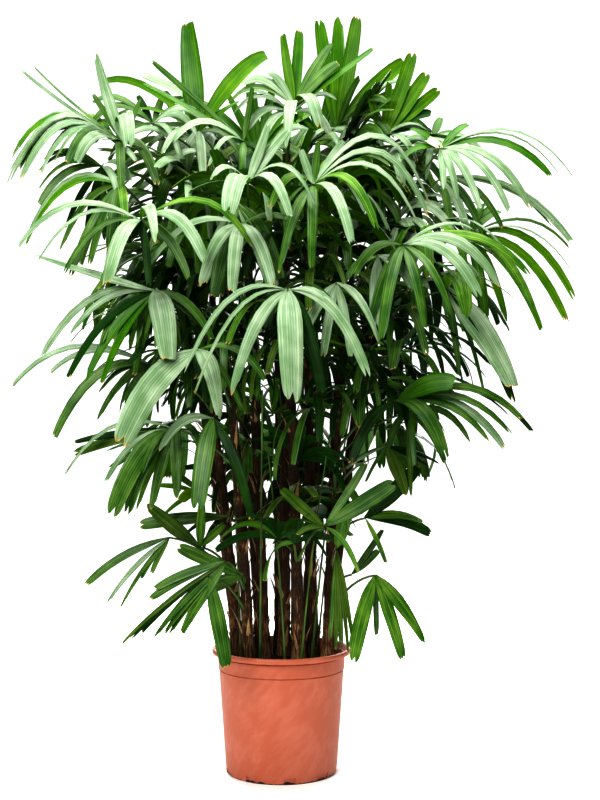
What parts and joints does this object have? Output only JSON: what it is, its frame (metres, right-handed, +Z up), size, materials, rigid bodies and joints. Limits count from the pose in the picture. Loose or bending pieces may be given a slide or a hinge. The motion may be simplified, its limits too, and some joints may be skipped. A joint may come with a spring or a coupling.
{
  "type": "potted lady palm",
  "caption": "A multi-stemmed lady palm with fibrous canes and palmate fronds of blunt, pleated leaflets, standing in a round plastic nursery pot of soil.",
  "frame": {"origin": "Centre of the pot's flat underside, on the surface the plant stands on.", "axes": "+Z is up, along the canes. -Y is the front of the plant, +X its right side as seen from the front."},
  "size_m": [1.0741, 0.8907, 1.4862],
  "materials": {
    "pot_plastic": "matt terracotta, scuffed",
    "soil": "dark crumbly potting soil",
    "cane": "dark brown leaf-sheath fibre",
    "leaf": "satin green leaf blade",
    "inner_leaf": "dark satin green inner foliage"
  },
  "bodies": {
    "root": {"pot": "pot_plastic", "soil": "soil", "cane_1": "cane", "cane_2": "cane", "cane_3": "cane", "cane_4": "cane", "cane_5": "cane", "cane_6": "cane", "cane_7": "cane", "cane_8": "cane", "cane_9": "cane", "cane_10": "cane", "cane_11": "cane", "cane_12": "cane", "foliage_crown": "inner_leaf", "foliage_heart": "inner_leaf", "foliage_left": "inner_leaf", "foliage_right": "inner_leaf", "foliage_back_left": "inner_leaf", "foliage_back_right": "inner_leaf", "foliage_low_left": "inner_leaf", "foliage_low_right": "inner_leaf", "frond_crest_1": "leaf", "frond_crest_2": "leaf", "frond_crest_3": "leaf", "frond_crest_4": "leaf", "frond_crest_5": "leaf", "frond_crest_6": "leaf", "frond_crest_7": "leaf", "frond_brow_1": "leaf", "frond_brow_2": "leaf", "frond_brow_3": "leaf", "frond_brow_4": "leaf", "frond_brow_5": "leaf", "frond_front_1": "leaf", "frond_front_2": "leaf", "frond_front_3": "leaf", "frond_front_4": "leaf", "frond_front_5": "leaf", "frond_waist_1": "leaf", "frond_waist_2": "leaf", "frond_waist_3": "leaf", "frond_waist_4": "leaf", "frond_waist_5": "leaf", "frond_skirt_1": "leaf", "frond_skirt_2": "leaf", "frond_skirt_3": "leaf", "frond_skirt_4": "leaf", "frond_skirt_5": "leaf", "frond_skirt_6": "leaf", "frond_back_high_1": "leaf", "frond_back_high_2": "leaf", "frond_back_high_3": "leaf", "frond_back_mid_1": "leaf", "frond_back_mid_2": "leaf", "frond_back_mid_3": "leaf", "frond_back_mid_4": "leaf", "frond_back_low_1": "leaf", "frond_back_low_2": "leaf", "frond_back_low_3": "leaf"}
  },
  "joints": []
}
